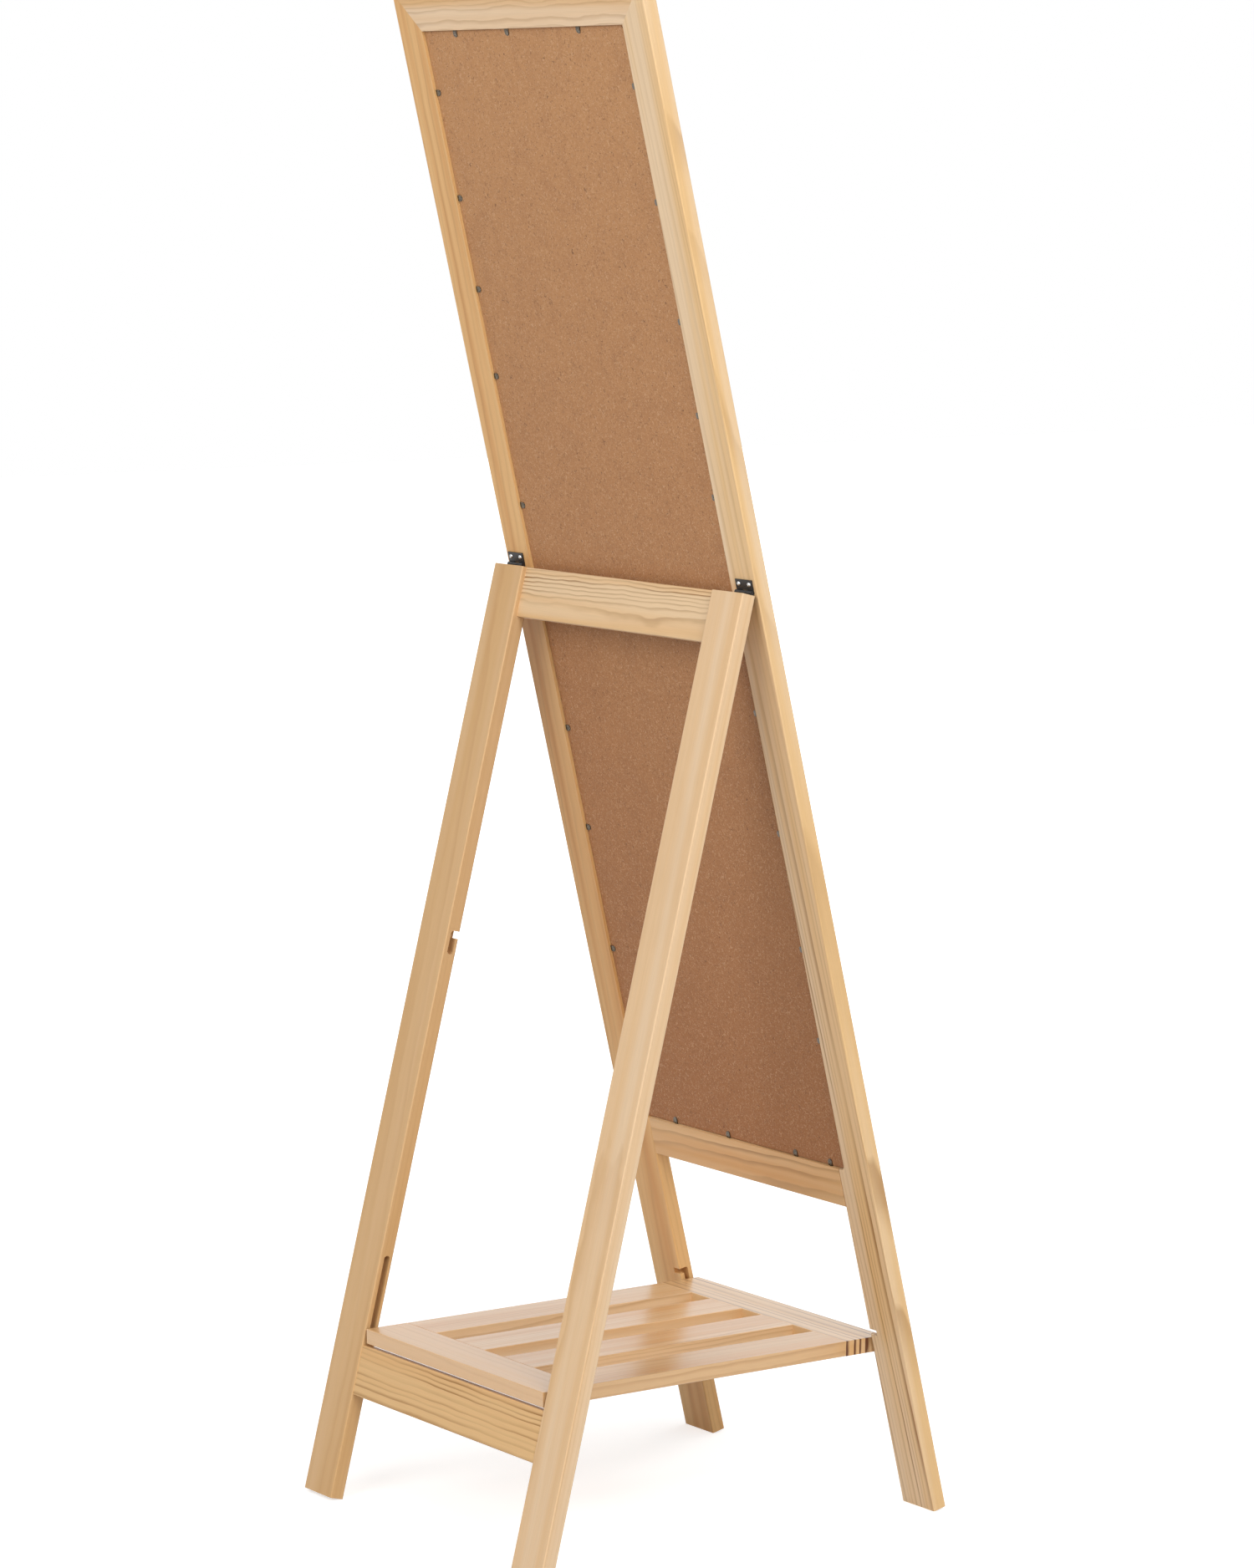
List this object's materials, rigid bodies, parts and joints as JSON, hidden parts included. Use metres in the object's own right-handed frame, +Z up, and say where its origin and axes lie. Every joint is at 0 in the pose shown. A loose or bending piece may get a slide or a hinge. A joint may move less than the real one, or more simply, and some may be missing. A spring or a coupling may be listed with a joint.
{
  "type": "folding floor mirror with shelf",
  "caption": "Folding floor mirror: a leaning framed mirror on a hinged rear stand, with a slatted shelf on pins that slides and folds away.",
  "frame": {"origin": "middle of the footprint, on the floor", "axes": "+X across the width, the mirror faces -Y, +Z up"},
  "size_m": [0.42, 0.481, 1.4814],
  "materials": {
    "pine": "satin lacquer",
    "hardboard": "matt",
    "dowel_beech": "matt",
    "mirror_glass": "polished",
    "black_steel": "satin",
    "zinc_screw": "satin",
    "pin_steel": "satin",
    "point_steel": "dull"
  },
  "bodies": {
    "mirror_leaf": {"stile_left": "pine", "stile_right": "pine", "mirror_top_rail": "pine", "mirror_bottom_rail": "pine", "mirror_glass": "mirror_glass", "back_board": "hardboard", "board_points": "point_steel", "leaf_dowels": "dowel_beech", "stile_hinge_leaf_left": "black_steel", "stile_hinge_leaf_right": "black_steel", "stile_hinge_screws": "zinc_screw", "hinge_pin_left": "black_steel", "hinge_pin_right": "black_steel"},
    "rear_frame": {"rear_leg_left": "pine", "rear_leg_right": "pine", "rear_top_rail": "pine", "rear_lower_rail": "pine", "rear_dowels": "dowel_beech", "leg_hinge_leaf_left": "black_steel", "leg_hinge_leaf_right": "black_steel", "leg_hinge_screws": "zinc_screw"},
    "shelf_pins": {"shelf_rear_pin_left": "pin_steel", "shelf_rear_pin_right": "pin_steel"},
    "shelf": {"shelf_front_board": "pine", "shelf_rear_board": "pine", "shelf_slat_1": "pine", "shelf_slat_2": "pine", "shelf_slat_3": "pine", "shelf_slat_4": "pine", "slat_dowels": "dowel_beech", "shelf_front_pin_left": "pin_steel", "shelf_front_pin_right": "pin_steel"}
  },
  "joints": [
    {"name": "frame_fold", "type": "hinge", "parent": "mirror_leaf", "child": "rear_frame", "pos_m": [0, -0.00455, 0.91491], "axis": [-1, 0, 0], "range_deg": [0, 27.5]},
    {"name": "shelf_slide", "type": "slide", "parent": "rear_frame", "child": "shelf_pins", "axis": [0, -0.2453, 0.9694], "range_m": [0, 0.0758]},
    {"name": "shelf_swing", "type": "hinge", "parent": "shelf_pins", "child": "shelf", "pos_m": [0, 0.1917, 0.1622], "axis": [-1, 0, 0], "range_deg": [0, 9.5]}
  ]
}
